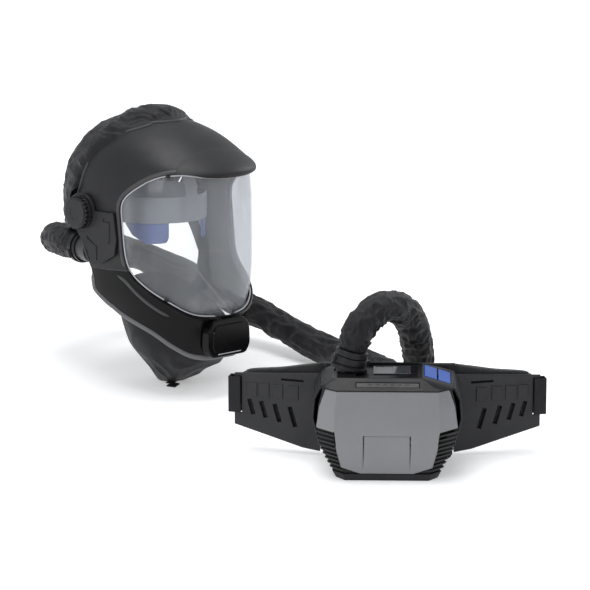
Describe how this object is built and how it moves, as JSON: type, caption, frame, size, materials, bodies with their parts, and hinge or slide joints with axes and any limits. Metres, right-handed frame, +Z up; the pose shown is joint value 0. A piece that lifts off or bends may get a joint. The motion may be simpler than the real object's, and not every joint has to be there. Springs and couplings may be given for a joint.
{
  "type": "powered air respirator",
  "caption": "Belt-worn fan and filter unit feeding a fabric-covered breathing tube to a visored helmet with tilting headgear.",
  "frame": {"origin": "middle of the blower's base, on the floor", "axes": "+Z up, -Y the way the filter cover faces, +X to the right of someone looking at the cover"},
  "size_m": [0.6992, 0.672, 0.3702],
  "materials": {
    "black_housing": "satin",
    "grey_cover": "satin",
    "grille_black": "satin",
    "display": "gloss",
    "button_blue": "satin",
    "board_green": "satin",
    "filter_paper": "matte",
    "screen_steel": "satin",
    "gasket_rubber": "matte",
    "wheel_plastic": "satin",
    "battery_black": "satin",
    "collar_black": "satin",
    "tube_cover": "matte",
    "belt_plastic": "satin",
    "pad_fabric": "matte",
    "webbing": "matte",
    "buckle_plastic": "satin",
    "shell_black": "satin",
    "chin_gloss": "gloss",
    "trim_grey": "satin",
    "clear_visor": "gloss",
    "duct_grey": "satin",
    "knob_black": "satin",
    "hood_fabric": "matte",
    "band_grey": "satin",
    "sweatband": "matte",
    "temple_blue": "satin"
  },
  "bodies": {
    "root": {"rear_housing": "black_housing", "front_frame": "black_housing", "side_grille_right": "grille_black", "side_grille_left": "grille_black", "top_panel": "black_housing", "indicator_bar": "grille_black", "display_lens": "display", "circuit_board": "board_green", "main_filter": "filter_paper", "spark_screen": "screen_steel", "filter_gasket": "gasket_rubber", "fan_housing": "black_housing", "motor": "screen_steel", "housing_screws": "screen_steel", "outlet_spigot": "collar_black", "blower_cuff": "collar_black", "breathing_tube": "tube_cover", "duct_cuff": "collar_black", "belt_carrier": "belt_plastic", "belt_pad": "pad_fabric", "belt_panel_right": "belt_plastic", "belt_panel_left": "belt_plastic", "webbing_right": "webbing", "webbing_left": "webbing", "buckle_socket": "buckle_plastic", "buckle_plug": "buckle_plastic", "helmet_shell": "shell_black", "chin_guard": "chin_gloss", "edge_trim": "trim_grey", "visor": "clear_visor", "visor_seal": "gasket_rubber", "exhalation_cover": "shell_black", "exhalation_valve": "gasket_rubber", "side_bracket_right": "shell_black", "side_bracket_left": "shell_black", "air_duct": "duct_grey", "pivot_bolt_right": "screen_steel", "pivot_bolt_left": "screen_steel", "head_hood": "hood_fabric", "neck_seal": "hood_fabric", "pull_tab": "webbing"},
    "cover": {"filter_cover": "grey_cover"},
    "battery": {"battery_pack": "battery_black"},
    "latch": {"battery_latch": "battery_black"},
    "power_key": {"power_button": "button_blue"},
    "fan_key": {"fan_button": "button_blue"},
    "fan_wheel": {"impeller": "wheel_plastic"},
    "outlet_ring": {"outlet_lock_ring": "collar_black"},
    "duct_ring": {"duct_lock_ring": "collar_black"},
    "knob_right": {"pivot_knob_right": "knob_black"},
    "knob_left": {"pivot_knob_left": "knob_black"},
    "headgear": {"headband": "band_grey", "sweatband": "sweatband", "crown_straps": "band_grey", "temple_pad_right": "temple_blue", "temple_pad_left": "temple_blue", "pivot_arms": "knob_black", "ratchet_housing": "band_grey"},
    "size_knob": {"ratchet_knob": "knob_black"}
  },
  "joints": [
    {"name": "cover_release", "type": "slide", "parent": "root", "child": "cover", "axis": [0, -1, 0], "range_m": [0, 0.06]},
    {"name": "battery_slide", "type": "slide", "parent": "root", "child": "battery", "axis": [1, 0, 0], "range_m": [0, 0.125]},
    {"name": "latch_slide", "type": "slide", "parent": "root", "child": "latch", "axis": [0, 1, 0], "range_m": [0, 0.004], "stiffness_N_per_m": 400},
    {"name": "power_press", "type": "slide", "parent": "root", "child": "power_key", "axis": [-0.2957, 0, -0.9553], "range_m": [0, 0.0012], "stiffness_N_per_m": 900},
    {"name": "fan_press", "type": "slide", "parent": "root", "child": "fan_key", "axis": [-0.2957, 0, -0.9553], "range_m": [0, 0.0012], "stiffness_N_per_m": 900},
    {"name": "fan_spin", "type": "hinge", "parent": "root", "child": "fan_wheel", "pos_m": [0.004, 0.012, 0.065], "axis": [0, 1, 0], "continuous": true},
    {"name": "outlet_ring_turn", "type": "hinge", "parent": "root", "child": "outlet_ring", "pos_m": [-0.0482, 0.01931, 0.14211], "axis": [0.2237, 0.1045, 0.969], "range_deg": [0, 30]},
    {"name": "duct_ring_turn", "type": "hinge", "parent": "root", "child": "duct_ring", "pos_m": [-0.4229, 0.3977, 0.18414], "axis": [-0.5779, 0.8117, -0.0853], "range_deg": [0, 30]},
    {"name": "knob_right_turn", "type": "hinge", "parent": "root", "child": "knob_right", "pos_m": [-0.42516, 0.35345, 0.2441], "axis": [-0.682, -0.7273, 0.0764], "range_deg": [-180, 180]},
    {"name": "knob_left_turn", "type": "hinge", "parent": "root", "child": "knob_left", "pos_m": [-0.26284, 0.52655, 0.2259], "axis": [0.682, 0.7273, -0.0764], "range_deg": [-180, 180]},
    {"name": "shell_tilt", "type": "hinge", "parent": "root", "child": "headgear", "pos_m": [-0.344, 0.44, 0.235], "axis": [0.682, 0.7273, -0.0764], "range_deg": [0, 48]},
    {"name": "size_knob_turn", "type": "hinge", "parent": "headgear", "child": "size_knob", "pos_m": [-0.40251, 0.49374, 0.22432], "axis": [-0.7314, 0.6783, -0.0713], "continuous": true}
  ]
}
